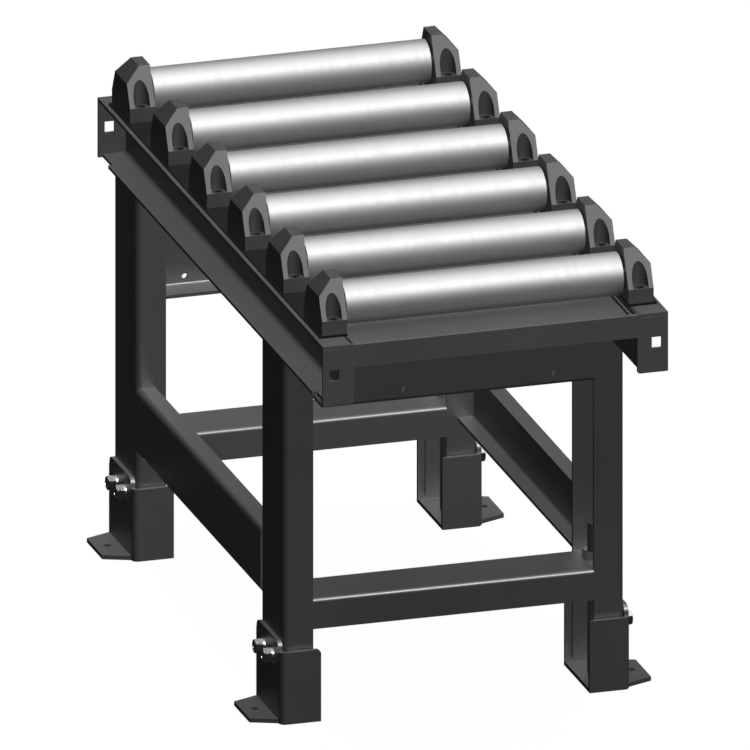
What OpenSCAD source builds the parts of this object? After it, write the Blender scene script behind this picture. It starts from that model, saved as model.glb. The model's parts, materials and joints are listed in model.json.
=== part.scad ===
// Roller conveyor: six plain rollers in cast bearing blocks on a folded sheet steel stand
// X runs along the rollers, Y along the conveyor, Z up, with the origin on the floor under its middle

/* [Rollers] */
// Outside diameter of the roller tubes
roller_d = 60; // [50:1:70]
// Wall of the roller tubes
roller_wall = 3; // [2:0.5:5]
// Distance from one roller axis to the next
roller_pitch = 177; // [150:1:220]
// Gap between a tube's end and the face of its bearing block
roller_end_gap = 3; // [1:0.5:6]
// Gap between the rollers and the cross-beams under them
roller_clear = 3; // [3:0.5:10]
// Diameter of the shaft inside the tube
shaft_d = 20; // [19:0.5:25]
// Thickness of the discs that close the tubes
disc_t = 6; // [4:0.5:10]
// Depth of the discs behind the tube ends
disc_recess = 1; // [0.5:0.5:4]

/* [Ball bearings] */
// Bore of the bearings
bearing_bore = 17; // [15:0.5:18]
// Outside diameter of the bearings
bearing_od = 35; // [32:0.5:38]
// Width of the bearings
bearing_w = 10; // [8:0.5:12]
// Depth of the bearings behind the face of the block
bearing_recess = 1; // [0.5:0.5:3]
// Length of the journal past the bearing
journal_tail = 3; // [1:0.5:4]

/* [Bearing blocks] */
// Width of a block along the roller axis
block_w = 35.5; // [34:0.5:40]
// Length of the foot of a block
block_l = 84; // [80:1:100]
// Height of the straight foot of a block
block_foot_h = 20; // [14:1:24]
// Length of the flat on top
block_top_l = 36; // [30:1:40]
// Height of the block above the roller axis
block_over_axis = 42; // [36:1:50]
// Width of the slanted cut on the outer top edge
block_cut_w = 19.5; // [12:0.5:26]
// Height of the slanted cut on the outer top edge
block_cut_h = 21; // [12:0.5:28]
// Width of the round-backed pockets over the bolts
pocket_d = 22; // [18:0.5:24]
// Distance from the end of the foot to the middle of the pocket's round back
pocket_edge = 5; // [3:0.5:7]
// Distance from the end of the foot to the bolt
block_bolt_edge = 8; // [7.5:0.5:9]
// Distance from the face of a block to the web of its rail
block_overhang = 2; // [0:0.5:4]
// Thickness of the dark strip under the blocks of a side
shim_t = 3; // [1:0.5:3]
// Length of the strip past the first and the last block
shim_margin = 2; // [0.5:0.5:4]
// Width of the strip past the outer face of the blocks
shim_edge = 4; // [0:0.5:5]

/* [Side rails] */
// Gap between the webs of the two rails
rail_gap = 401; // [340:1:500]
// Length of the rails past the last roller axis
rail_overhang = 77.5; // [70:0.5:140]
// Width of the lower flange of a rail and of its end plates
rail_w = 43; // [42:1:60]
// Height of the rails
rail_h = 85; // [75:1:110]
// Sheet thickness of the rails
rail_sheet = 4.5; // [3:0.5:6]
// Outer radius of the lower fold
rail_fold = 12; // [7:0.5:14]
// Outer radius of the upper fold
rail_top_fold = 6.5; // [6.5:0.5:9]
// Height of the underside of the rails above the floor
rail_z = 521; // [480:1:900]
// Outer radius of the lower inner corner of an end plate
plate_corner = 3; // [1:0.5:6]
// Width of the hole in each end plate
end_hole_w = 14; // [10:1:18]
// Height of the hole in each end plate
end_hole_h = 16; // [10:1:30]
// Distance from the outer edge of an end plate to the middle of its hole
end_hole_edge = 16; // [13:1:20]
// Width of the open joint between an end plate and the folded sheet
joint_w = 0.8; // [0.4:0.1:1.5]
// Depth of the step in the edge of the lower flange behind each rail end
step_depth = 6; // [3:0.5:12]
// Length of the step in the edge of the lower flange
step_length = 45; // [20:1:60]

/* [Cross-beams] */
// Height of the cross-beams between the rail ends
cross_h = 33; // [25:1:60]
// Depth of the cross-beams along the conveyor
cross_d = 95; // [70:1:130]
// Sheet thickness of the cross-beams
cross_sheet = 4; // [3:0.5:5]
// Outer fold radius of the cross-beams
cross_fold = 1.5; // [1:0.5:3]

/* [Deck] */
// Sheet thickness of the deck under the rollers
deck_t = 3; // [2:0.5:4]
// Height of the folded edges of the deck
deck_h = 20; // [16:1:28]
// Outer fold radius along the left edge of the deck
deck_fold = 4.5; // [4:0.5:6]
// Gap between the deck and the right rail
deck_gap = 14; // [11:0.5:24]
// Inner width of the gutter along the right edge of the deck
gutter_w = 4; // [2:0.5:6]

/* [Legs] */
// Depth of a leg along the conveyor
leg_d = 102; // [90:1:130]
// Width of the leg flanges
leg_w = 43; // [42:1:50]
// Sheet thickness of the legs and of the beams between them
leg_sheet = 5; // [4:0.5:6]
// Outer fold radius of the legs
leg_fold = 9; // [7:0.5:12]
// Distance of the legs behind the outer edge of the rails
leg_setback = 2.5; // [1:0.5:4]
// Distance from the front end of the rails to the front legs
front_inset = 193.6; // [150:0.1:260]
// Distance from the rear end of the rails to the rear legs
rear_inset = 66; // [20:1:160]
// Height of the lower end of the legs above the floor
leg_lift = 12; // [9:0.5:20]

/* [Beams between the legs] */
// Depth of the lower front and rear beams
low_beam_d = 84; // [60:1:85]
// Height of the lower front and rear beams
low_beam_h = 43.5; // [30:0.5:50]
// Height of their top above the floor
low_beam_z = 173.5; // [160:0.5:260]
// Outer fold radius of the lower beams and of the upper front beam
beam_fold = 5.5; // [5.5:0.5:9]
// Height of the side beams
side_beam_h = 95; // [60:1:130]
// Width of the flanges of the side beams
side_beam_w = 27; // [18:1:36]
// Height of their lower edge above the floor
side_beam_z = 151; // [130:0.5:240]
// Height of the upper front beam
front_beam_h = 76; // [50:1:100]
// Width of the flanges of the upper front beam
front_beam_w = 45; // [30:1:80]
// Width of the notch in the lower left corner of the upper front beam
notch_w = 13; // [8:1:20]
// Height of the notch in the lower left corner of the upper front beam
notch_h = 27; // [15:1:35]
// Height of the upper rear beam
rear_beam_h = 95; // [60:1:120]
// Width of the flanges of the upper rear beam
rear_beam_w = 42; // [30:1:80]
// Distance from the rail underside down to the lower edge of the upper rear beam
rear_beam_drop = 174; // [130:1:220]
// Diameter of the small holes in the upper beams
beam_hole_d = 8; // [4:0.5:12]
// Height of the small holes above the lower edge of their beam
beam_hole_z = 16; // [12:0.5:24]
// Distance of the outer small holes from the middle of the conveyor
outer_hole_x = 142; // [100:1:160]
// Distance of the inner small hole from the middle of the conveyor
inner_hole_x = 70; // [20:1:90]

/* [Levelling feet] */
// Sheet thickness of a foot
foot_sheet = 6; // [4:0.5:8]
// Outer fold radius of a foot
foot_fold = 9; // [8.5:0.5:12]
// Gap between the front and rear walls of a foot and its leg
foot_side_gap = 2.5; // [1:0.5:5]
// Length of the foot past the flange edges of its leg
foot_inner_reach = 8.5; // [0:0.5:15]
// Height of the front and rear walls of a foot
foot_wall_h = 103; // [95:1:115]
// Height of the outer wall of a foot
foot_back_h = 117; // [108:1:125]
// Radius of the top corners of the outer wall
foot_corner_r = 11; // [4:0.5:14]
// Radius of the top corners of the front and rear walls
foot_wall_corner = 6; // [2:0.5:12]
// Reach of the anchor tab outside the foot
tab_reach = 36.3; // [30:0.1:60]
// Length of the outer edge of the anchor tab
tab_edge = 71; // [40:1:100]
// Diameter of the anchor hole
anchor_d = 11; // [9:0.5:14]
// Distance from the outer edge of the tab to the anchor hole
anchor_edge = 18; // [12:0.5:20]
// How far a foot can be let down
foot_travel = 35; // [10:1:35]

/* [Levelling spindles] */
// Diameter of the threaded spindles
spindle_d = 20; // [16:1:20]
// Height of the top of a spindle above the floor
spindle_top = 222; // [222:1:260]
// Distance from the flange edges of the leg to the spindle axis
spindle_inset = 16; // [16:0.5:18]
// Thickness of the bridge plate in a leg
bridge_t = 6; // [4:0.5:10]
// Height of the underside of the bridge plate above the floor
bridge_z = 163; // [155:1:165]
// Width of the spindle nut across its flats
spindle_nut_af = 30; // [26:1:30]
// Height of the spindle nut
spindle_nut_h = 16; // [12:0.5:18]

/* [Clamp bolts] */
// Diameter of the clamp bolts
clamp_d = 12; // [10:1:12]
// Height of the clamp bolts above the floor
clamp_z = 88; // [82:1:90]
// Distance between the two clamp bolts of a foot
clamp_spacing = 39; // [34:1:44]
// Width of their heads and nuts across the flats
clamp_af = 18; // [16:1:19]
// Height of their heads
clamp_head_h = 7.5; // [6:0.5:8]
// Height of their nuts
clamp_nut_h = 10.5; // [8:0.5:12]
// Diameter of their washers
clamp_washer_d = 24; // [22:1:28]
// Thickness of their washers
clamp_washer_t = 2.5; // [1.5:0.5:3]

/* [Block bolts] */
// Diameter of the socket head bolts that hold the blocks
block_bolt_d = 8; // [6:1:8]
// Diameter of their heads
block_bolt_head_d = 13; // [10:0.5:14]
// Height of their heads
block_bolt_head_h = 8; // [6:0.5:9]
// Width of the hexagon socket across its flats
block_bolt_socket_af = 6; // [5:0.5:7]
// Width of their nuts across the flats
block_bolt_nut_af = 13; // [11:0.5:14]
// Height of their nuts
block_bolt_nut_h = 6.5; // [5:0.5:8]
// Diameter of the washers above their nuts
block_bolt_washer_d = 16; // [14:0.5:18]
// Thickness of the washers above their nuts
block_bolt_washer_t = 1.6; // [1:0.2:2]

/* [Fits] */
// Radial clearance of the journals in the bearings
journal_fit = 0.05; // [0.02:0.01:0.1]
// Radial clearance of pieces that are pressed or welded in
seat_fit = 0.02; // [0.01:0.01:0.05]
// Clearance between a leg and what slides along it
slide_fit = 0.2; // [0.1:0.05:0.3]
// Clearance of a bolt in its hole
hole_play = 1; // [0.5:0.25:1.5]
// Clearance of the slots on the clamp bolts
slot_play = 1.5; // [1:0.25:2]
// Length of a bolt past its nut
bolt_tail = 3; // [1:0.5:5]

/* [Hidden] */
$fn = 64;

// Overlap of a cut past the face it opens
cut = 1;
// Least inner radius of a fold
least_fold = 0.5;
// Length and depth of the chamfer at a bolt's end
bolt_tip = 1;
// Room round a journal and past its end inside a block
journal_room = 3;
// Depth of a bolt's head below the floor of its pocket
head_sink = 0.5;
roller_count = 6;
left = -1;
right = 1;

paint = [0.24, 0.25, 0.26];
casting = [0.30, 0.31, 0.32];
shim_black = [0.10, 0.10, 0.11];
bright = [0.80, 0.81, 0.82];
zinc = [0.68, 0.69, 0.70];

// Side rails
rail_in = rail_gap / 2;
rail_out = rail_in + rail_w;
rail_top = rail_z + rail_h;
rail_length = (roller_count - 1) * roller_pitch + 2 * rail_overhang;
front_y = -rail_length / 2;
rear_y = rail_length / 2;

// Rollers and bearing blocks
axis_z = rail_top + roller_clear + roller_d / 2;
block_z = rail_top + shim_t;
block_h = axis_z - block_z + block_over_axis;
block_floor_z = block_z + block_foot_h;
tube_half = rail_in - block_overhang - roller_end_gap;
block_in = rail_in - block_overhang;
bearing_in = block_in + bearing_recess;
bearing_out = bearing_in + bearing_w;
block_bolt_x = block_in + block_w / 2;
block_bolt_spacing = block_l - 2 * block_bolt_edge;
block_bolt_z = block_floor_z - block_bolt_head_h - head_sink;

// Legs
leg_out = rail_out - leg_setback;
leg_in = leg_out - leg_w;
front_leg_y = front_y + front_inset;
rear_leg_y = rear_y - rear_inset - leg_d;
front_leg_mid = front_leg_y + leg_d / 2;
rear_leg_mid = rear_leg_y + leg_d / 2;

// Feet
foot_out = leg_out + slide_fit + foot_sheet;
foot_in = leg_in - foot_inner_reach;
foot_l = leg_d + 2 * (foot_side_gap + foot_sheet);
spindle_x = leg_in + spindle_inset;
nut_z = bridge_z + bridge_t;

function roller_y(i) = (i - (roller_count + 1) / 2) * roller_pitch;

// Sheet outline of one folded side: two fold radii on the side x = 0
module fold_2d(flange, web, low_fold, high_fold) {
  translate([low_fold, low_fold]) circle(low_fold);
  translate([high_fold, web - high_fold]) circle(high_fold);
  translate([0, low_fold]) square([flange, web - low_fold - high_fold]);
  translate([low_fold, 0]) square([flange - low_fold, low_fold + cut]);
  translate([high_fold, web - high_fold - cut]) square([flange - high_fold, high_fold + cut]);
}

// Folded channel: web on x = 0, flanges towards +x
module channel_2d(flange, web, sheet, fold) {
  inner_fold = max(fold - sheet, least_fold);
  difference() {
    fold_2d(flange, web, fold, fold);
    translate([sheet, sheet]) fold_2d(flange, web - 2 * sheet, inner_fold, inner_fold);
  }
}

// A section in X and Z, drawn out along the conveyor
module along_y(from, to) {
  translate([0, to, 0]) rotate([90, 0, 0]) linear_extrude(to - from) children();
}

// A section in Y and Z, drawn out across the conveyor from one side to the other
module across(half) {
  translate([-half, 0, 0]) rotate([90, 0, 90]) linear_extrude(2 * half) children();
}

// A piece modelled on the right, placed on either side
module on_side(side) {
  if (side == right) children();
  else mirror([1, 0, 0]) children();
}

// Hexagon with its corners broken at both ends
module hexagon(af, height) {
  bevel = 0.08 * af;
  intersection() {
    cylinder(d = af / cos(30), h = height, $fn = 6);
    union() {
      cylinder(d1 = af - 0.2, d2 = af - 0.2 + 3.4 * bevel, h = bevel);
      translate([0, 0, bevel]) cylinder(d = af - 0.2 + 3.4 * bevel, h = height - 2 * bevel);
      translate([0, 0, height - bevel]) cylinder(d1 = af - 0.2 + 3.4 * bevel, d2 = af - 0.2, h = bevel);
    }
  }
}

// Bolt with its head on z = 0 and its shank towards -z
module bolt(d, af, head_h, reach) {
  hexagon(af, head_h);
  translate([0, 0, bolt_tip - reach]) cylinder(d = d, h = reach);
  translate([0, 0, -reach]) cylinder(d1 = d - 2 * bolt_tip, d2 = d, h = bolt_tip);
}

module washer(d, hole, thickness) {
  difference() {
    cylinder(d = d, h = thickness);
    translate([0, 0, -cut]) cylinder(d = hole, h = thickness + 2 * cut);
  }
}

module nut(af, hole, height) {
  difference() {
    hexagon(af, height);
    translate([0, 0, -cut]) cylinder(d = hole, h = height + 2 * cut);
  }
}

// Rail: channel open to the outside with a plate with a square hole across each end
module rail(side) {
  web_x = rail_in + rail_sheet;
  plate_y = rear_y - rail_sheet;
  flange_z = rail_top - rail_sheet;
  hole_x = rail_out - end_hole_edge;
  color(paint) on_side(side) difference() {
    union() {
      difference() {
        translate([rail_in, 0, rail_z]) along_y(front_y + rail_sheet, plate_y)
          fold_2d(rail_w, rail_h, rail_fold, rail_top_fold);
        translate([web_x, 0, rail_z + rail_sheet])
          along_y(front_y, rear_y)
          fold_2d(rail_w, rail_h - 2 * rail_sheet, rail_fold - rail_sheet, rail_top_fold - rail_sheet);
        for (y = [front_y + rail_sheet, plate_y - step_length])
          translate([rail_out - step_depth, y, rail_z - cut])
          cube([step_depth + cut, step_length, rail_sheet + 2 * cut]);
      }
      for (y = [front_y, plate_y])
        translate([rail_in, 0, rail_z]) along_y(y, y + rail_sheet)
        fold_2d(rail_w, rail_h, plate_corner, plate_corner);
    }
    translate([hole_x - end_hole_w / 2, front_y - cut, rail_z + rail_h / 2 - end_hole_h / 2])
      cube([end_hole_w, rail_length + 2 * cut, end_hole_h]);
    for (end = [-1, 1]) {
      translate([web_x, end * rear_y - joint_w, rail_z + rail_fold])
        cube([joint_w, 2 * joint_w, rail_h - rail_fold - rail_sheet]);
      translate([web_x, end * rear_y - joint_w, flange_z - joint_w]) cube([rail_w, 2 * joint_w, joint_w]);
    }
    for (i = [1:roller_count], end = [-1, 1])
      translate([block_bolt_x, roller_y(i) + end * block_bolt_spacing / 2, flange_z - cut])
        cylinder(d = block_bolt_d + hole_play, h = rail_sheet + 2 * cut);
  }
}

// Cross-beam: channel on its back between the rail ends, notched for the gutter of the deck
module crossbeam() {
  color(paint) difference() {
    across(rail_in) translate([front_y, rail_top]) rotate(-90)
      channel_2d(cross_h, cross_d, cross_sheet, cross_fold);
    translate([rail_in - deck_gap, front_y + cross_sheet, rail_top - deck_h])
      cube([deck_gap + cut, cross_d - cross_sheet + cut, deck_h + cut]);
  }
}

// Deck between the cross-beams: folded down against the left rail, with a gutter along its right
// edge that runs on through the notches of the cross-beams
module deck_sheet() {
  edge_x = rail_in - deck_gap;
  lip_x = edge_x + gutter_w;
  half = rear_y - cross_d;
  gutter_half = rear_y - cross_sheet;
  low_z = rail_top - deck_h;
  color(paint) {
    along_y(-half, half) {
      difference() {
        translate([-rail_in, low_z]) fold_2d(rail_in + edge_x, deck_h, deck_t / 2, deck_fold);
        translate([deck_t - rail_in, low_z - deck_t])
          fold_2d(rail_in + edge_x - 2 * deck_t, deck_h, deck_t / 2, deck_fold - deck_t);
      }
      translate([edge_x - deck_t, low_z]) square([gutter_w + 2 * deck_t, deck_t]);
    }
    translate([0, -gutter_half, low_z]) {
      translate([edge_x, 0, 0]) cube([gutter_w + deck_t, 2 * gutter_half, deck_t]);
      translate([lip_x, 0, 0]) cube([deck_t, 2 * gutter_half, deck_h]);
    }
  }
}

// Leg: channel open to the middle, with two slots for the clamp bolts
module leg(side, y) {
  slot_d = clamp_d + slot_play;
  color(paint) on_side(side) difference() {
    translate([leg_out, y, leg_lift]) linear_extrude(rail_z - leg_lift)
      mirror([1, 0]) channel_2d(leg_w, leg_d, leg_sheet, leg_fold);
    for (end = [-1, 1])
      translate([leg_out - leg_sheet - cut, y + leg_d / 2 + end * clamp_spacing / 2, clamp_z]) {
        rotate([0, 90, 0]) cylinder(d = slot_d, h = leg_sheet + 2 * cut);
        translate([0, 0, -foot_travel]) rotate([0, 90, 0]) cylinder(d = slot_d, h = leg_sheet + 2 * cut);
        translate([0, -slot_d / 2, -foot_travel]) cube([leg_sheet + 2 * cut, slot_d, foot_travel]);
      }
  }
}

// Small round hole through an upright web whose outer face lies at y
module web_hole(x, y, z) {
  translate([x, y - leg_sheet - cut, z]) rotate([-90, 0, 0])
    cylinder(d = beam_hole_d, h = 2 * (leg_sheet + cut));
}

// Upper front beam: channel standing on edge between the front legs, open to the rear
module upper_beam_front() {
  low_z = rail_z - front_beam_h;
  color(paint) difference() {
    across(leg_in) translate([front_leg_y, low_z])
      channel_2d(front_beam_w, front_beam_h, leg_sheet, beam_fold);
    for (x = [-inner_hole_x, outer_hole_x]) web_hole(x, front_leg_y, low_z + beam_hole_z);
    translate([-leg_in - cut, front_leg_y - cut, low_z - cut])
      cube([notch_w + cut, front_beam_w + 2 * cut, notch_h + cut]);
  }
}

// Upper rear beam: channel standing on edge between the rear legs, open to the front
module upper_beam_rear() {
  low_z = rail_z - rear_beam_drop;
  color(paint) difference() {
    across(leg_in) translate([rear_leg_y + leg_d, low_z]) mirror([1, 0])
      channel_2d(rear_beam_w, rear_beam_h, leg_sheet, leg_fold);
    for (x = [-outer_hole_x, outer_hole_x]) web_hole(x, rear_leg_y + leg_d, low_z + beam_hole_z);
  }
}

// Lower beam: channel on its back between two legs, flush with the front of the legs
module lower_beam(y) {
  color(paint) across(leg_in) translate([y, low_beam_z]) rotate(-90)
    channel_2d(low_beam_h, low_beam_d, leg_sheet, beam_fold);
}

// Side beam: channel on edge from the front leg to the rear leg, flush with their outer faces
module side_beam(side) {
  color(paint) on_side(side) translate([leg_out, 0, side_beam_z])
    along_y(front_leg_y + leg_d, rear_leg_y)
    mirror([1, 0]) channel_2d(side_beam_w, side_beam_h, leg_sheet, leg_fold);
}

// Plates across the inside of the legs that carry the spindle nuts
module bridge_plates() {
  plate_l = leg_d - 2 * leg_sheet;
  color(paint) for (side = [left, right], mid = [front_leg_mid, rear_leg_mid])
    on_side(side) difference() {
      translate([leg_in, mid - plate_l / 2, bridge_z]) cube([leg_w - leg_sheet, plate_l, bridge_t]);
      translate([spindle_x, mid, bridge_z - cut])
        cylinder(d = spindle_d + 2 * hole_play, h = bridge_t + 2 * cut);
      for (end = [-1, 1])
        translate([leg_out - leg_sheet, mid + end * plate_l / 2, bridge_z - cut])
          cylinder(r = leg_fold - leg_sheet, h = bridge_t + 2 * cut, $fn = 4);
    }
}

module levelling_nuts() {
  color(zinc) for (side = [left, right], mid = [front_leg_mid, rear_leg_mid])
    translate([side * spindle_x, mid, nut_z]) rotate([0, 0, 30])
      nut(spindle_nut_af, spindle_d + 2 * journal_fit, spindle_nut_h);
}

// Foot: folded shoe round the end of a leg on a base plate with an anchor tab
module foot(side, mid) {
  half = foot_l / 2;
  length = foot_out - foot_in;
  color(paint) on_side(side) translate([0, mid, 0]) difference() {
    union() {
      linear_extrude(foot_sheet) polygon([
        [foot_in, -half], [foot_out - foot_fold, -half], [foot_out, foot_fold - half],
        [foot_out + tab_reach, -tab_edge / 2], [foot_out + tab_reach, tab_edge / 2],
        [foot_out, half - foot_fold], [foot_out - foot_fold, half], [foot_in, half]
      ]);
      difference() {
        translate([foot_out, -half, 0]) linear_extrude(foot_wall_h)
          mirror([1, 0]) channel_2d(length, foot_l, foot_sheet, foot_fold);
        translate([foot_in, half + cut, foot_wall_h - foot_wall_corner]) rotate([90, 0, 0])
          linear_extrude(foot_l + 2 * cut) difference() {
            translate([-cut, 0]) square([cut + foot_wall_corner, foot_wall_corner + cut]);
            translate([foot_wall_corner, 0]) circle(foot_wall_corner);
          }
      }
      foot_back(half);
    }
    translate([foot_out + tab_reach - anchor_edge, 0, -cut])
      cylinder(d = anchor_d, h = foot_sheet + 2 * cut);
    for (end = [-1, 1])
      translate([foot_out - foot_sheet - cut, end * clamp_spacing / 2, clamp_z])
        rotate([0, 90, 0]) cylinder(d = clamp_d + hole_play, h = foot_sheet + 2 * cut);
  }
}

// Outer wall of a foot between the folds, with round top corners
module foot_back(half) {
  flat = half - foot_fold;
  translate([foot_out - foot_sheet, 0, 0]) rotate([90, 0, 90]) linear_extrude(foot_sheet) {
    translate([-flat, foot_sheet]) square([2 * flat, foot_back_h - foot_corner_r - foot_sheet]);
    translate([foot_corner_r - flat, foot_sheet])
      square([2 * (flat - foot_corner_r), foot_back_h - foot_sheet]);
    for (end = [-1, 1])
      translate([end * (flat - foot_corner_r), foot_back_h - foot_corner_r]) circle(foot_corner_r);
  }
}

// Threaded rod that stands on the base plate of a foot
module spindle(side, mid) {
  bevel = 1.5;
  color(zinc) translate([side * spindle_x, mid, foot_sheet]) {
    cylinder(d = spindle_d, h = spindle_top - foot_sheet - bevel);
    translate([0, 0, spindle_top - foot_sheet - bevel])
      cylinder(d1 = spindle_d, d2 = spindle_d - 2 * bevel, h = bevel);
  }
}

// Two clamp bolts: heads inside the leg, nuts outside the foot, a washer under each
module clamp_bolts(side, mid) {
  seat_x = leg_out - leg_sheet - slide_fit;
  reach = foot_out + clamp_washer_t + clamp_nut_h - seat_x + clamp_washer_t;
  color(zinc) on_side(side) for (end = [-1, 1])
    translate([0, mid + end * clamp_spacing / 2, clamp_z]) {
      translate([seat_x - clamp_washer_t, 0, 0]) rotate([0, -90, 0])
        bolt(clamp_d, clamp_af, clamp_head_h, reach);
      translate([seat_x - clamp_washer_t, 0, 0]) rotate([0, 90, 0])
        washer(clamp_washer_d, clamp_d + 2 * seat_fit, clamp_washer_t);
      translate([foot_out, 0, 0]) rotate([0, 90, 0])
        washer(clamp_washer_d, clamp_d + 2 * seat_fit, clamp_washer_t);
      translate([foot_out + clamp_washer_t, 0, 0]) rotate([0, 90, 0])
        nut(clamp_af, clamp_d + 2 * seat_fit, clamp_nut_h);
    }
}

module roller_tube(i) {
  color(bright) translate([-tube_half, roller_y(i), axis_z]) rotate([0, 90, 0]) difference() {
    cylinder(d = roller_d, h = 2 * tube_half);
    translate([0, 0, -cut]) cylinder(d = roller_d - 2 * roller_wall, h = 2 * (tube_half + cut));
  }
}

// Turned shaft with a welded disc near each end of the tube and a journal in each bearing
module roller_shaft(i) {
  shaft_r = shaft_d / 2;
  disc_r = roller_d / 2 - roller_wall - seat_fit;
  journal_r = bearing_bore / 2 - journal_fit;
  disc_out = tube_half - disc_recess;
  shoulder = bearing_in - slide_fit;
  tip = bearing_out + journal_tail;
  half = [
    [0, 0], [shaft_r, 0], [shaft_r, disc_out - disc_t], [disc_r, disc_out - disc_t],
    [disc_r, disc_out], [shaft_r, disc_out], [shaft_r, shoulder], [journal_r, shoulder],
    [journal_r, tip - 1], [journal_r - 1, tip], [0, tip]
  ];
  color(zinc) translate([0, roller_y(i), axis_z]) for (side = [left, right])
    rotate([0, side * 90, 0]) rotate_extrude() polygon(half);
}

// Cast block with the shape of a plummer block: straight foot, slanted flanks, flat top,
// a slanted outer top edge, a blind bearing seat and two round-backed pockets over sunk bolts
module bearing_block(side, i) {
  seat_z = axis_z - block_z;
  journal_depth = bearing_out - block_in + journal_tail;
  color(casting) on_side(side) translate([block_in, roller_y(i), block_z]) difference() {
    rotate([90, 0, 90]) linear_extrude(block_w) polygon([
      [-block_l / 2, 0], [block_l / 2, 0], [block_l / 2, block_foot_h],
      [block_top_l / 2, block_h], [-block_top_l / 2, block_h], [-block_l / 2, block_foot_h]
    ]);
    translate([0, block_l / 2, 0]) rotate([90, 0, 0]) linear_extrude(block_l) polygon([
      [block_w - block_cut_w, block_h], [block_w - block_cut_w, block_h + cut],
      [block_w + cut, block_h + cut], [block_w + cut, block_h - block_cut_h],
      [block_w, block_h - block_cut_h]
    ]);
    translate([-cut, 0, seat_z]) rotate([0, 90, 0])
      cylinder(d = bearing_od + 2 * seat_fit, h = cut + bearing_recess + bearing_w);
    translate([0, 0, seat_z]) rotate([0, 90, 0])
      cylinder(d = bearing_bore + 2 * journal_room, h = journal_depth + journal_room);
    translate([block_w / 2, 0, 0]) for (turn = [0, 180]) rotate([0, 0, turn]) {
      translate([0, block_l / 2 - pocket_edge, block_foot_h]) linear_extrude(block_h) {
        circle(d = pocket_d);
        translate([-pocket_d / 2, 0]) square([pocket_d, pocket_edge + cut]);
      }
      translate([0, block_bolt_spacing / 2, -cut]) cylinder(d = block_bolt_d + hole_play, h = block_h);
      translate([0, block_bolt_spacing / 2, block_bolt_z - block_z])
        cylinder(d = block_bolt_head_d + hole_play, h = block_h);
    }
  }
}

// Deep-groove ball bearing with a shield set back between its two rings on each face
module bearing(side, i) {
  ring = (bearing_od - bearing_bore) / 2;
  inner_r = bearing_bore / 2;
  outer_r = bearing_od / 2;
  shield_depth = 0.6;
  color(bright) on_side(side) translate([bearing_in, roller_y(i), axis_z]) rotate([0, 90, 0])
    rotate_extrude() polygon([
      [inner_r, 0], [inner_r + 0.28 * ring, 0], [inner_r + 0.28 * ring, shield_depth],
      [outer_r - 0.28 * ring, shield_depth], [outer_r - 0.28 * ring, 0], [outer_r, 0],
      [outer_r, bearing_w], [outer_r - 0.28 * ring, bearing_w],
      [outer_r - 0.28 * ring, bearing_w - shield_depth],
      [inner_r + 0.28 * ring, bearing_w - shield_depth],
      [inner_r + 0.28 * ring, bearing_w], [inner_r, bearing_w]
    ]);
}

module bearings(side) {
  for (i = [1:roller_count]) bearing(side, i);
}

// Dark strips between the rails and their blocks, one along each side
module block_shims() {
  from = roller_y(1) - block_l / 2 - shim_margin;
  color(shim_black) for (side = [left, right])
    on_side(side) translate([block_in, 0, rail_top]) difference() {
      translate([0, from, 0]) cube([block_w + shim_edge, -2 * from, shim_t]);
      for (i = [1:roller_count], end = [-1, 1])
        translate([block_w / 2, roller_y(i) + end * block_bolt_spacing / 2, -cut])
        cylinder(d = block_bolt_d + hole_play, h = shim_t + 2 * cut);
    }
}

// Socket head bolt with the underside of its head on z = 0
module socket_bolt(reach) {
  bevel = 0.6;
  difference() {
    union() {
      cylinder(d = block_bolt_head_d, h = block_bolt_head_h - bevel);
      translate([0, 0, block_bolt_head_h - bevel])
        cylinder(d1 = block_bolt_head_d, d2 = block_bolt_head_d - 2 * bevel, h = bevel);
      translate([0, 0, bolt_tip - reach]) cylinder(d = block_bolt_d, h = reach);
      translate([0, 0, -reach])
        cylinder(d1 = block_bolt_d - 2 * bolt_tip, d2 = block_bolt_d, h = bolt_tip);
    }
    translate([0, 0, block_bolt_head_h / 2])
      cylinder(d = block_bolt_socket_af / cos(30), h = block_bolt_head_h, $fn = 6);
  }
}

// Bolts through the feet of the blocks, each with a washer and a nut under the rail
module block_bolts() {
  washer_z = rail_top - rail_sheet - block_bolt_washer_t;
  nut_low_z = washer_z - block_bolt_nut_h;
  hole = block_bolt_d + 2 * seat_fit;
  color(zinc) for (side = [left, right], i = [1:roller_count], end = [-1, 1])
    translate([side * block_bolt_x, roller_y(i) + end * block_bolt_spacing / 2, 0]) {
      translate([0, 0, block_bolt_z]) socket_bolt(block_bolt_z - nut_low_z + bolt_tail);
      translate([0, 0, washer_z]) washer(block_bolt_washer_d, hole, block_bolt_washer_t);
      translate([0, 0, nut_low_z]) nut(block_bolt_nut_af, hole, block_bolt_nut_h);
    }
}

rail(left);  // rail_left
rail(right);  // rail_right
crossbeam();  // crossbeam_front
mirror([0, 1, 0]) crossbeam();  // crossbeam_rear
deck_sheet();
leg(left, front_leg_y);  // leg_front_left
leg(right, front_leg_y);  // leg_front_right
leg(left, rear_leg_y);  // leg_rear_left
leg(right, rear_leg_y);  // leg_rear_right
upper_beam_front();
upper_beam_rear();
lower_beam(front_leg_y);  // lower_beam_front
lower_beam(rear_leg_y);  // lower_beam_rear
side_beam(left);  // side_beam_left
side_beam(right);  // side_beam_right
bridge_plates();
levelling_nuts();
foot(left, front_leg_mid);  // foot_front_left
foot(right, front_leg_mid);  // foot_front_right
foot(left, rear_leg_mid);  // foot_rear_left
foot(right, rear_leg_mid);  // foot_rear_right
spindle(left, front_leg_mid);  // spindle_front_left
spindle(right, front_leg_mid);  // spindle_front_right
spindle(left, rear_leg_mid);  // spindle_rear_left
spindle(right, rear_leg_mid);  // spindle_rear_right
clamp_bolts(left, front_leg_mid);  // clamp_bolts_front_left
clamp_bolts(right, front_leg_mid);  // clamp_bolts_front_right
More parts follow.
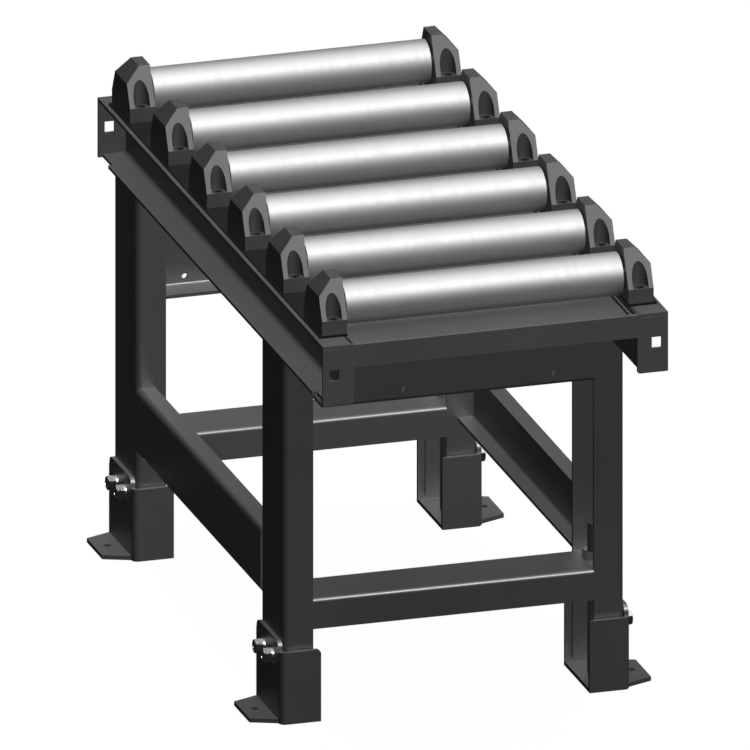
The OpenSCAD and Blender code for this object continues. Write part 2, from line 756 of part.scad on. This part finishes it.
clamp_bolts(left, rear_leg_mid);  // clamp_bolts_rear_left
clamp_bolts(right, rear_leg_mid);  // clamp_bolts_rear_right
roller_tube(1);  // roller_tube_1
roller_tube(2);  // roller_tube_2
roller_tube(3);  // roller_tube_3
roller_tube(4);  // roller_tube_4
roller_tube(5);  // roller_tube_5
roller_tube(6);  // roller_tube_6
roller_shaft(1);  // roller_shaft_1
roller_shaft(2);  // roller_shaft_2
roller_shaft(3);  // roller_shaft_3
roller_shaft(4);  // roller_shaft_4
roller_shaft(5);  // roller_shaft_5
roller_shaft(6);  // roller_shaft_6
bearing_block(left, 1);  // bearing_block_left_1
bearing_block(left, 2);  // bearing_block_left_2
bearing_block(left, 3);  // bearing_block_left_3
bearing_block(left, 4);  // bearing_block_left_4
bearing_block(left, 5);  // bearing_block_left_5
bearing_block(left, 6);  // bearing_block_left_6
bearing_block(right, 1);  // bearing_block_right_1
bearing_block(right, 2);  // bearing_block_right_2
bearing_block(right, 3);  // bearing_block_right_3
bearing_block(right, 4);  // bearing_block_right_4
bearing_block(right, 5);  // bearing_block_right_5
bearing_block(right, 6);  // bearing_block_right_6
bearings(left);  // bearings_left
bearings(right);  // bearings_right
block_shims();
block_bolts();
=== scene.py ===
import json
import math

import bmesh
import bpy
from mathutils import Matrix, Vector


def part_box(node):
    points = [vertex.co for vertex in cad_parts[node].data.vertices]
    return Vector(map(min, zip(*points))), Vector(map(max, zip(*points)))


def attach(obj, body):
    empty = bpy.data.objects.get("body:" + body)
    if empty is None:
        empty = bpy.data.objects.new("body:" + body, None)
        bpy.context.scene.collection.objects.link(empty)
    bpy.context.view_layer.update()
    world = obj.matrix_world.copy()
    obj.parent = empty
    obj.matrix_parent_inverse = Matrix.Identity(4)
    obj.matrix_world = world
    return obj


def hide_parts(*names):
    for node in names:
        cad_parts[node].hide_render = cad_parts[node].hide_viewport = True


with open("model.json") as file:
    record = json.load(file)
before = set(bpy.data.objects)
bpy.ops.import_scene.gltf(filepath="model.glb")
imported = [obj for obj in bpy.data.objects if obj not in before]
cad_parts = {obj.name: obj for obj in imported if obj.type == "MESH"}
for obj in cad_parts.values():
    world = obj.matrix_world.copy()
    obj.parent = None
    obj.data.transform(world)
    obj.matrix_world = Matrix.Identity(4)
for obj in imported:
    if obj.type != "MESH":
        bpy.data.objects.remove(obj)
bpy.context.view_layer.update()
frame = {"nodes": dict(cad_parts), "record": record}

# View of the photograph, in metres and degrees
VIEW_WIDTH = 1.0121
VIEW_AZIMUTH = 17.03
VIEW_ELEVATION = 19.84
VIEW_TARGET = (0.0, 0.0359, 0.3489)
VIEW_DISTANCE = 6.0
VIEW_DEPTH = 60.0

# Thread of the levelling spindles, M20 coarse
THREAD_PITCH = 0.0025
THREAD_DEPTH = 0.0015
THREAD_SIDES = 24
THREAD_MERGE = 1e-5
SHARP_EDGE = math.radians(35)

# Suns without shadows: direction, strength, width in degrees, and whether gloss shows them
SUNS = {
    "key": ((0.275, -0.64, 0.72), 2.2, 8.0, True),
    "overhead": ((0.0, 0.0, 1.0), 0.75, 20.0, True),
    "back": ((0.35, 1.0, 0.25), 2.0, 20.0, False),
    "left": ((-1.0, 0.25, 0.1), 0.12, 20.0, False),
}
SUN_DISTANCE = 4.0

# The one lamp that casts a shadow, a wide and weak one on the floor
SOFTBOX_DIRECTION = (0.1, 0.1, 1.0)
SOFTBOX_DISTANCE = 3.0
SOFTBOX_SIZE = 2.0
SOFTBOX_POWER = 6.0

# Point that the lamps face
LIT_POINT = Vector((0.0, 0.0, 0.4))

# World: brightness at the sides and overhead, and the heights of the direction between which
# it changes, for diffuse and for glossy rays
WORLD_IN_MATT = (0.02, 0.9)
WORLD_IN_MATT_RISE = (0.85, 0.97)
WORLD_IN_GLOSS = (0.01, 0.45)
WORLD_IN_GLOSS_RISE = (0.45, 0.85)

# Floor: its size, how bright gloss shows it, its own light in the picture and the light it returns
FLOOR_SIZE = 30.0
FLOOR_IN_GLOSS = 0.01
FLOOR_IN_VIEW = 0.85
FLOOR_BOUNCE = 0.04

# Most of a noise lies between these two values
NOISE_LOW = 0.3
NOISE_HIGH = 0.7

# Cosine between the smoothed and the true normal, on a flat face and on a worn edge
FLAT_COSINE = 0.99
EDGE_COSINE = 0.75


def place(name, data):
    """A new object with the data, linked to the scene."""
    item = bpy.data.objects.new(name, data)
    bpy.context.scene.collection.objects.link(item)
    return item


def look_along(item, direction):
    """Turn a camera or a lamp so that it looks along a direction."""
    item.rotation_euler = direction.to_track_quat("-Z", "Y").to_euler()


def add_camera():
    """Parallel camera at the photograph's angle and scale."""
    azimuth, elevation = math.radians(VIEW_AZIMUTH), math.radians(VIEW_ELEVATION)
    towards = Vector((-math.sin(azimuth) * math.cos(elevation),
                      -math.cos(azimuth) * math.cos(elevation),
                      math.sin(elevation)))
    data = bpy.data.cameras.new("view")
    data.type = "ORTHO"
    data.ortho_scale = VIEW_WIDTH
    data.clip_end = VIEW_DEPTH
    camera = place("view", data)
    camera.location = Vector(VIEW_TARGET) + VIEW_DISTANCE * towards
    look_along(camera, -towards)
    bpy.context.scene.camera = camera


class Nodes:
    """Short way to build the nodes of a material or of the world."""

    def __init__(self, owner):
        owner.use_nodes = True
        self.owner = owner
        self.tree = owner.node_tree
        self.tree.nodes.clear()

    def add(self, kind, inputs=None, **settings):
        """A new node with values or links on its inputs; gives its outputs."""
        node = self.tree.nodes.new(kind)
        for key, value in settings.items():
            setattr(node, key, value)
        for key, value in (inputs or {}).items():
            if isinstance(value, bpy.types.NodeSocket):
                self.tree.links.new(value, node.inputs[key])
            else:
                node.inputs[key].default_value = value
        return node.outputs

    def finish(self, kind, shader):
        """Link the shader to an output of this kind; gives the material or world."""
        self.add(kind, {"Surface": shader})
        return self.owner

    def noise(self, scale, detail, stretch=(1, 1, 1)):
        """Noise in the object's own metres, drawn out along an axis by a small stretch."""
        where = self.add("ShaderNodeTexCoord")["Object"]
        mapped = self.add("ShaderNodeMapping", {"Vector": where, "Scale": stretch})[0]
        return self.add("ShaderNodeTexNoise", {"Vector": mapped, "Scale": scale,
                                               "Detail": detail})[0]

    def remap(self, value, low, high, to_low, to_high):
        return self.add("ShaderNodeMapRange", {"Value": value, "From Min": low, "From Max": high,
                                               "To Min": to_low, "To Max": to_high})[0]

    def around(self, noise, middle, reach):
        """Values that follow the noise to both sides of a middle value."""
        return self.remap(noise, NOISE_LOW, NOISE_HIGH, middle - reach, middle + reach)

    def mix(self, share, first, second):
        return self.add("ShaderNodeMix", {0: share, 6: first, 7: second}, data_type="RGBA")[2]

    def tones(self, noise, value, reach):
        """Greys that follow the noise, by a share of the value to both sides."""
        share = self.remap(noise, NOISE_LOW, NOISE_HIGH, 0.0, 1.0)
        return self.mix(share, grey(value * (1 - reach)), grey(value * (1 + reach)))

    def bump(self, height, strength, distance):
        return self.add("ShaderNodeBump", {"Height": height, "Strength": strength,
                                           "Distance": distance})[0]

    def calc(self, operation, first, second):
        return self.add("ShaderNodeMath", {0: first, 1: second}, operation=operation)[0]

    def worn_edges(self, radius):
        """1 along convex edges and 0 on flat faces, from the spread of normals at a corner."""
        bevel = self.add("ShaderNodeBevel", {"Radius": radius}, samples=6)[0]
        normal = self.add("ShaderNodeNewGeometry")["Normal"]
        cosine = self.add("ShaderNodeVectorMath", {0: bevel, 1: normal},
                          operation="DOT_PRODUCT")["Value"]
        return self.remap(cosine, FLAT_COSINE, EDGE_COSINE, 0.0, 1.0)


def grey(value):
    return (value, value, value, 1.0)


def powder_coat(name, value, roughness, specular, ior=1.5):
    """Satin powder coat: fine orange peel, slow drift in tone and slightly lighter edges."""
    n = Nodes(bpy.data.materials.new(name))
    drift = n.noise(scale=5.0, detail=2.0)
    peel = n.noise(scale=700.0, detail=2.0)
    tone = n.tones(drift, value, reach=0.05)
    shader = n.add("ShaderNodeBsdfPrincipled", {
        "Base Color": n.mix(n.worn_edges(radius=0.0025), tone, grey(value * 1.2)),
        "Roughness": n.around(drift, roughness, reach=0.02),
        "Specular IOR Level": specular, "IOR": ior,
        "Normal": n.bump(peel, strength=0.04, distance=0.0003)})[0]
    return n.finish("ShaderNodeOutputMaterial", shader)


def cast_paint(name, value, roughness, specular):
    """Paint over a fine cast surface."""
    n = Nodes(bpy.data.materials.new(name))
    grain = n.noise(scale=380.0, detail=4.0)
    drift = n.noise(scale=22.0, detail=2.0)
    tone = n.tones(drift, value, reach=0.07)
    shader = n.add("ShaderNodeBsdfPrincipled", {
        "Base Color": n.mix(n.worn_edges(radius=0.002), tone, grey(value * 1.3)),
        "Roughness": n.around(grain, roughness, reach=0.04),
        "Specular IOR Level": specular,
        "Normal": n.bump(grain, strength=0.10, distance=0.0004)})[0]
    return n.finish("ShaderNodeOutputMaterial", shader)


def turned_steel(name, value, roughness, stretch, scale, depth):
    """Bright metal with fine lines from grinding or turning; stretch is small along the lines."""
    n = Nodes(bpy.data.materials.new(name))
    lines = n.noise(scale, detail=2.0, stretch=stretch)
    cloud = n.noise(scale=3.0, detail=1.0)
    shader = n.add("ShaderNodeBsdfPrincipled", {
        "Base Color": n.tones(cloud, value, reach=0.02), "Metallic": 1.0,
        "Roughness": n.around(lines, roughness, reach=0.02),
        "Normal": n.bump(lines, strength=depth, distance=0.0002)})[0]
    return n.finish("ShaderNodeOutputMaterial", shader)


# Paints: value, roughness, specular level and, where it isn't 1.5, index of refraction
# Metals: value, roughness, stretch of the lines along X, Y and Z, their scale and depth
SURFACES = {
    "rail_paint": (powder_coat, 0.087, 0.42, 0.25),
    "frame_paint": (powder_coat, 0.047, 0.45, 0.9, 1.85),
    "light_frame_paint": (powder_coat, 0.074, 0.45, 0.9, 1.85),
    "casting_paint": (cast_paint, 0.060, 0.48, 1.0),
    "shim_plate": (powder_coat, 0.008, 0.45, 0.2),
    "black_hardware": (powder_coat, 0.022, 0.30, 0.5),
    "roller_steel": (turned_steel, 0.58, 0.63, (1.0, 0.05, 0.05), 160.0, 0.012),
    "shaft_steel": (turned_steel, 0.50, 0.36, (1.0, 0.08, 0.08), 160.0, 0.03),
    "bearing_steel": (turned_steel, 0.55, 0.34, (1.0, 0.5, 0.5), 160.0, 0.03),
    "zinc_hardware": (turned_steel, 0.66, 0.27, (1.0, 1.0, 1.0), 300.0, 0.015),
}
MATERIALS = {name: make(name, *values) for name, (make, *values) in SURFACES.items()}
SLOTS = {part["node"]: part["material_slot"] for part in frame["record"]["subparts"]}
BODIES = {node: body for body, nodes in frame["record"]["behaviour"]["bodies"].items()
          for node in nodes}


def dress_nodes():
    """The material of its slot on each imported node; frame paint is lighter behind the front."""
    for name, item in frame["nodes"].items():
        lighter = SLOTS[name] == "frame_paint" and "_front" not in name
        item.data.materials.clear()
        item.data.materials.append(MATERIALS["light_frame_paint" if lighter else SLOTS[name]])


def threaded_rod(name, node, body, slot):
    """A rod with a helical thread in the place of a plain upright one, both ends tapered."""
    low, high = (Vector(corner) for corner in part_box(node))
    middle = (low + high) / 2
    radius = (high.x - low.x) / 2
    root = radius - THREAD_DEPTH
    turns = math.ceil((high.z - low.z) / THREAD_PITCH) + 1
    made = bmesh.new()
    columns = []
    for step in range(THREAD_SIDES):
        angle = 2 * math.pi * step / THREAD_SIDES
        column = []
        for half in range(2 * turns + 1):
            z = low.z + (half / 2 + step / THREAD_SIDES - 1) * THREAD_PITCH
            z = min(max(z, low.z), high.z)
            taper = root + min(z - low.z, high.z - z)
            reach = min(radius if half % 2 else root, taper)
            column.append(made.verts.new((middle.x + reach * math.cos(angle),
                                          middle.y + reach * math.sin(angle), z)))
        columns.append(column)
    for step, column in enumerate(columns):
        # The last column meets the first one a full turn, two rows, higher up
        onward, lift = (columns[step + 1], 0) if step + 1 < THREAD_SIDES else (columns[0], 2)
        for half in range(2 * turns - lift):
            made.faces.new((column[half], onward[half + lift],
                            onward[half + lift + 1], column[half + 1]))
    bmesh.ops.remove_doubles(made, verts=made.verts, dist=THREAD_MERGE)
    bmesh.ops.holes_fill(made, edges=[edge for edge in made.edges if edge.is_boundary])
    bmesh.ops.recalc_face_normals(made, faces=made.faces)
    mesh = bpy.data.meshes.new(name)
    made.to_mesh(mesh)
    made.free()
    mesh.shade_smooth()
    mesh.set_sharp_from_angle(angle=SHARP_EDGE)
    mesh.materials.append(MATERIALS[slot])
    rod = place(name, mesh)
    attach(rod, body)
    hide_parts(node)


def add_threads():
    """Threads of the levelling spindles, each on the body of its foot."""
    for node in sorted(SLOTS):
        if node.startswith("spindle_"):
            threaded_rod("thread_" + node, node, BODIES[node], SLOTS[node])


def add_floor():
    """White to the camera with a trace of shadow, and dark to gloss and to bounced light."""
    n = Nodes(bpy.data.materials.new("floor"))
    path = n.add("ShaderNodeLightPath")
    seen = n.calc("MAXIMUM", path["Is Camera Ray"], path["Is Transmission Ray"])
    share = n.calc("MAXIMUM", n.calc("MULTIPLY", seen, FLOOR_IN_VIEW), path["Is Glossy Ray"])
    colour = n.mix(seen, grey(FLOOR_BOUNCE), grey(1.0))
    strength = n.remap(path["Is Glossy Ray"], 0.0, 1.0, 1.0, FLOOR_IN_GLOSS)
    matt = n.add("ShaderNodeBsdfDiffuse", {"Color": colour})[0]
    light = n.add("ShaderNodeEmission", {"Color": grey(1.0), "Strength": strength})[0]
    both = n.add("ShaderNodeMixShader", {0: share, 1: matt, 2: light})[0]
    half = FLOOR_SIZE / 2
    mesh = bpy.data.meshes.new("floor")
    mesh.from_pydata([(-half, -half, 0), (half, -half, 0), (half, half, 0), (-half, half, 0)],
                     [], [(0, 1, 2, 3)])
    mesh.materials.append(n.finish("ShaderNodeOutputMaterial", both))
    floor = place("floor", mesh)


def add_world():
    """Light from overhead, dim round the sides, and plain white to the camera."""
    world = bpy.data.worlds.new("studio")
    bpy.context.scene.world = world
    n = Nodes(world)
    path = n.add("ShaderNodeLightPath")
    direction = n.add("ShaderNodeTexCoord")["Generated"]
    height = n.add("ShaderNodeSeparateXYZ", {0: direction})["Z"]
    seen = n.calc("MAXIMUM", path["Is Camera Ray"], path["Is Transmission Ray"])
    gloss = n.calc("MULTIPLY", path["Is Glossy Ray"],
                   n.remap(height, *WORLD_IN_GLOSS_RISE, *WORLD_IN_GLOSS))
    matt = n.calc("MULTIPLY", path["Is Diffuse Ray"],
                  n.remap(height, *WORLD_IN_MATT_RISE, *WORLD_IN_MATT))
    strength = n.calc("MAXIMUM", seen, n.calc("ADD", gloss, matt))
    light = n.add("ShaderNodeBackground", {"Color": grey(1.0), "Strength": strength})[0]
    n.finish("ShaderNodeOutputWorld", light)


def add_lamp(data, direction, distance):
    """A lamp out along a direction from the lit point, which it faces."""
    away = Vector(direction).normalized()
    lamp = place(data.name, data)
    lamp.location = LIT_POINT + distance * away
    look_along(lamp, -away)
    return lamp


def add_suns():
    """Even light from four sides."""
    for name, (direction, strength, width, in_gloss) in SUNS.items():
        data = bpy.data.lights.new(name, "SUN")
        data.energy = strength
        data.angle = math.radians(width)
        data.use_shadow = False
        lamp = add_lamp(data, direction, SUN_DISTANCE)
        lamp.visible_glossy = in_gloss


def add_softbox():
    """The wide lamp that gives the floor its shadow."""
    data = bpy.data.lights.new("top", "AREA")
    data.shape = "SQUARE"
    data.size = SOFTBOX_SIZE
    data.energy = SOFTBOX_POWER
    add_lamp(data, SOFTBOX_DIRECTION, SOFTBOX_DISTANCE)


add_camera()
dress_nodes()
add_threads()
add_floor()
add_world()
add_suns()
add_softbox()
bpy.context.scene.view_settings.view_transform = "Standard"
